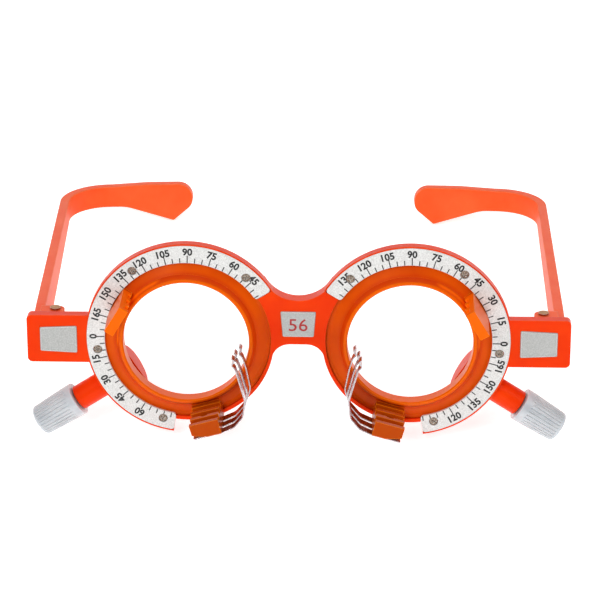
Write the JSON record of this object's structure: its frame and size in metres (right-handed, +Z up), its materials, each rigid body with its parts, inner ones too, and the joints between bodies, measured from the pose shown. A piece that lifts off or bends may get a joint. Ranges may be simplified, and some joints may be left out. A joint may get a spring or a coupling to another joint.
{
  "type": "optician's trial frame",
  "caption": "Orange optician's trial frame: turning, knob-geared lens cells with marked dials, comb guides and lens springs on a fixed bridge, with folding curled temples.",
  "frame": {"origin": "centre of the bounding box at its base, on the surface the frame rests on", "axes": "+X to the viewer's right along the line of the lens cells, +Y back towards the temple tips, +Z up; left and right are as seen from the front"},
  "size_m": [0.1382, 0.1272, 0.053],
  "materials": {
    "frame_plastic": "glossy red-orange moulding",
    "cell_plastic": "glossy translucent orange",
    "temple_plastic": "satin coral orange",
    "dial_plate": "matt light grey with black marks",
    "badge_metal": "fine matt silver",
    "screw_steel": "turned steel",
    "spring_steel": "polished spring steel",
    "knob_plastic": "pale translucent, ribbed"
  },
  "bodies": {
    "front": {"front_frame": "frame_plastic", "bridge_badge": "badge_metal", "left_lug_badge": "badge_metal", "left_dial_plate": "dial_plate", "left_dial_screws": "screw_steel", "left_gear_cover": "frame_plastic", "left_cover_screws": "screw_steel", "left_hinge_pin": "screw_steel", "right_lug_badge": "badge_metal", "right_dial_plate": "dial_plate", "right_dial_screws": "screw_steel", "right_gear_cover": "frame_plastic", "right_cover_screws": "screw_steel", "right_hinge_pin": "screw_steel"},
    "left_cell": {"left_cell_ring": "cell_plastic"},
    "left_spring": {"left_spring_fork": "spring_steel", "left_fork_rivet": "spring_steel"},
    "left_drive": {"left_knob": "knob_plastic", "left_knob_shaft": "screw_steel", "left_pinion": "screw_steel"},
    "left_arm": {"left_temple": "temple_plastic"},
    "right_cell": {"right_cell_ring": "cell_plastic"},
    "right_spring": {"right_spring_fork": "spring_steel", "right_fork_rivet": "spring_steel"},
    "right_drive": {"right_knob": "knob_plastic", "right_knob_shaft": "screw_steel", "right_pinion": "screw_steel"},
    "right_arm": {"right_temple": "temple_plastic"}
  },
  "joints": [
    {"name": "left_cell_turn", "type": "hinge", "parent": "front", "child": "left_cell", "pos_m": [-0.02687, -0.04739, 0.02794], "axis": [0, 0.9851, -0.1719], "continuous": true},
    {"name": "left_knob_turn", "type": "hinge", "parent": "front", "child": "left_drive", "pos_m": [-0.06041, -0.04719, 0.00579], "axis": [-0.8387, -0.0936, -0.5365], "continuous": true},
    {"name": "left_spring_open", "type": "hinge", "parent": "left_cell", "child": "left_spring", "pos_m": [-0.02104, -0.05809, 0.00848], "axis": [0, 0.9851, -0.1719], "range_deg": [0, 14], "stiffness_Nm_per_rad": 0.05, "springref_deg": -5.73},
    {"name": "left_temple_fold", "type": "hinge", "parent": "front", "child": "left_arm", "pos_m": [-0.06017, -0.04207, 0.02701], "axis": [0, 0.1719, 0.9851], "range_deg": [-72, 0]},
    {"name": "right_cell_turn", "type": "hinge", "parent": "front", "child": "right_cell", "pos_m": [0.02913, -0.04739, 0.02794], "axis": [0, 0.9851, -0.1719], "continuous": true},
    {"name": "right_knob_turn", "type": "hinge", "parent": "front", "child": "right_drive", "pos_m": [0.06268, -0.04719, 0.00579], "axis": [0.8387, -0.0936, -0.5365], "continuous": true},
    {"name": "right_spring_open", "type": "hinge", "parent": "right_cell", "child": "right_spring", "pos_m": [0.02331, -0.05809, 0.00848], "axis": [0, -0.9851, 0.1719], "range_deg": [0, 14], "stiffness_Nm_per_rad": 0.05, "springref_deg": -5.73},
    {"name": "right_temple_fold", "type": "hinge", "parent": "front", "child": "right_arm", "pos_m": [0.06243, -0.04207, 0.02701], "axis": [0, 0.1719, 0.9851], "range_deg": [-2, 70]}
  ],
  "couplings": [
    {"joint": "left_knob_turn", "follows": "left_cell_turn", "ratio": 9.75},
    {"joint": "right_knob_turn", "follows": "right_cell_turn", "ratio": 9.75}
  ]
}
